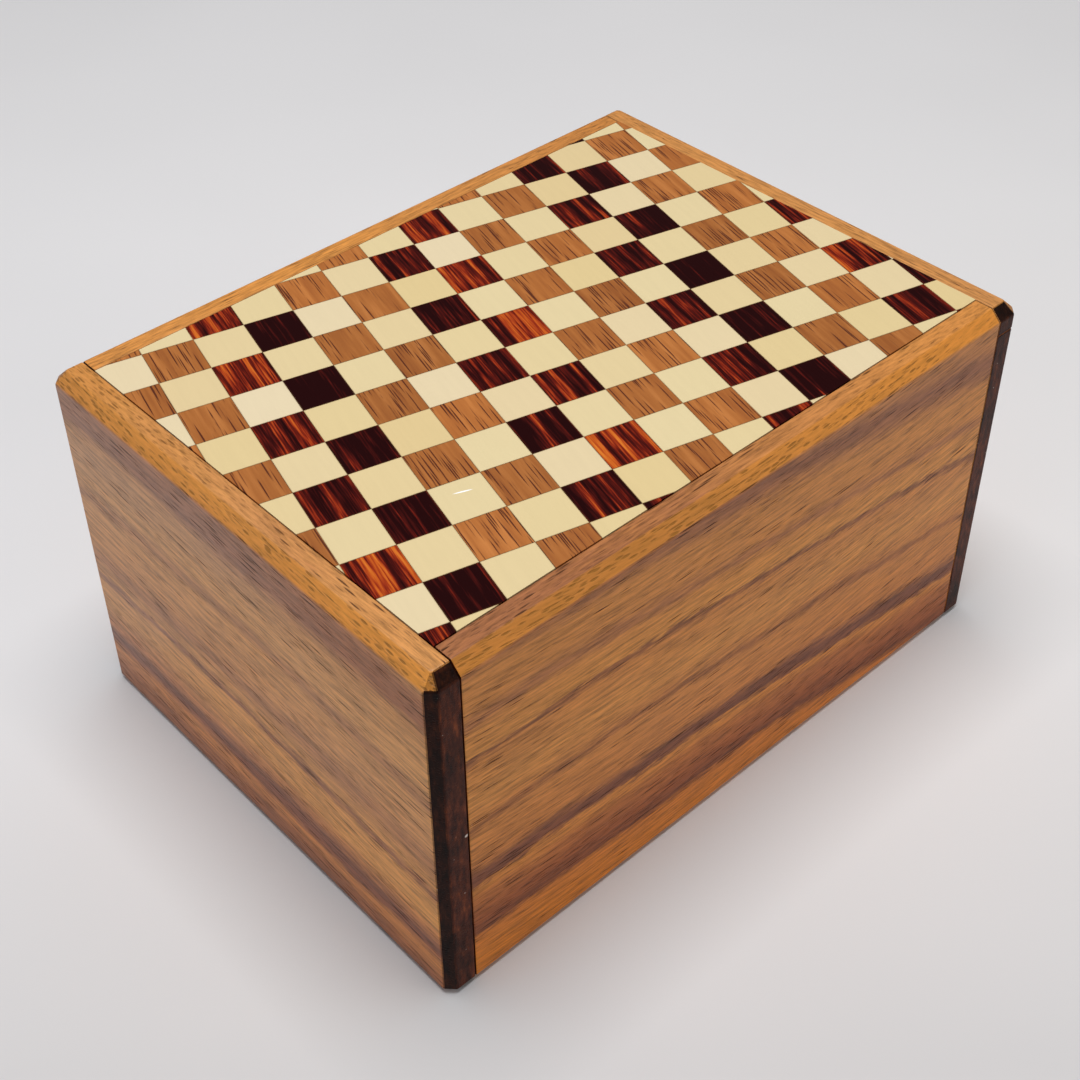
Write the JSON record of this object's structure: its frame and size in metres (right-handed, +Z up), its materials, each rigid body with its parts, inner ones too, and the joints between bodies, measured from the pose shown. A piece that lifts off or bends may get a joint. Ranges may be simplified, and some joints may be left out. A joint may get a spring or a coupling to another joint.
{
  "type": "wooden puzzle box",
  "caption": "Small rectangular wooden puzzle box with plain walnut panels, a checkered marquetry lid that slides lengthwise, and end panels that slide down.",
  "frame": {"origin": "centre of the base, on the plane the box stands on", "axes": "+X along the length, towards the end the lid slides out of; +Y to the rear; +Z up"},
  "size_m": [0.121, 0.0896, 0.0658],
  "materials": {
    "walnut_panel": "satin lacquer",
    "inner_softwood": "planed, unfinished",
    "hardwood_key": "planed, waxed",
    "liner_veneer": "sanded, unfinished",
    "light_maple": "satin lacquer",
    "walnut_tile": "satin lacquer",
    "rosewood_tile": "satin lacquer"
  },
  "bodies": {
    "case": {"front_side_panel": "walnut_panel", "rear_side_panel": "walnut_panel", "left_inner_wall": "inner_softwood", "right_inner_wall": "inner_softwood", "front_inner_wall": "inner_softwood", "rear_inner_wall": "inner_softwood", "bottom_board": "inner_softwood", "floor_liner": "liner_veneer"},
    "left_end": {"left_end_panel": "walnut_panel", "left_lock_tongue": "hardwood_key", "left_front_key": "hardwood_key", "left_rear_key": "hardwood_key"},
    "right_end": {"right_end_panel": "walnut_panel", "right_lock_tongue": "hardwood_key", "right_front_key": "hardwood_key", "right_rear_key": "hardwood_key"},
    "lid": {"lid_board": "inner_softwood", "lid_end_cap": "walnut_panel", "front_lid_runner": "hardwood_key", "rear_lid_runner": "hardwood_key", "marquetry_light_tiles": "light_maple", "marquetry_walnut_tiles": "walnut_tile", "marquetry_rosewood_tiles": "rosewood_tile"}
  },
  "joints": [
    {"name": "left_panel_slide", "type": "slide", "parent": "case", "child": "left_end", "axis": [0, 0, -1], "range_m": [0, 0.004]},
    {"name": "right_panel_slide", "type": "slide", "parent": "case", "child": "right_end", "axis": [0, 0, -1], "range_m": [0, 0.004]},
    {"name": "lid_slide", "type": "slide", "parent": "case", "child": "lid", "axis": [1, 0, 0], "range_m": [0, 0.1]}
  ]
}
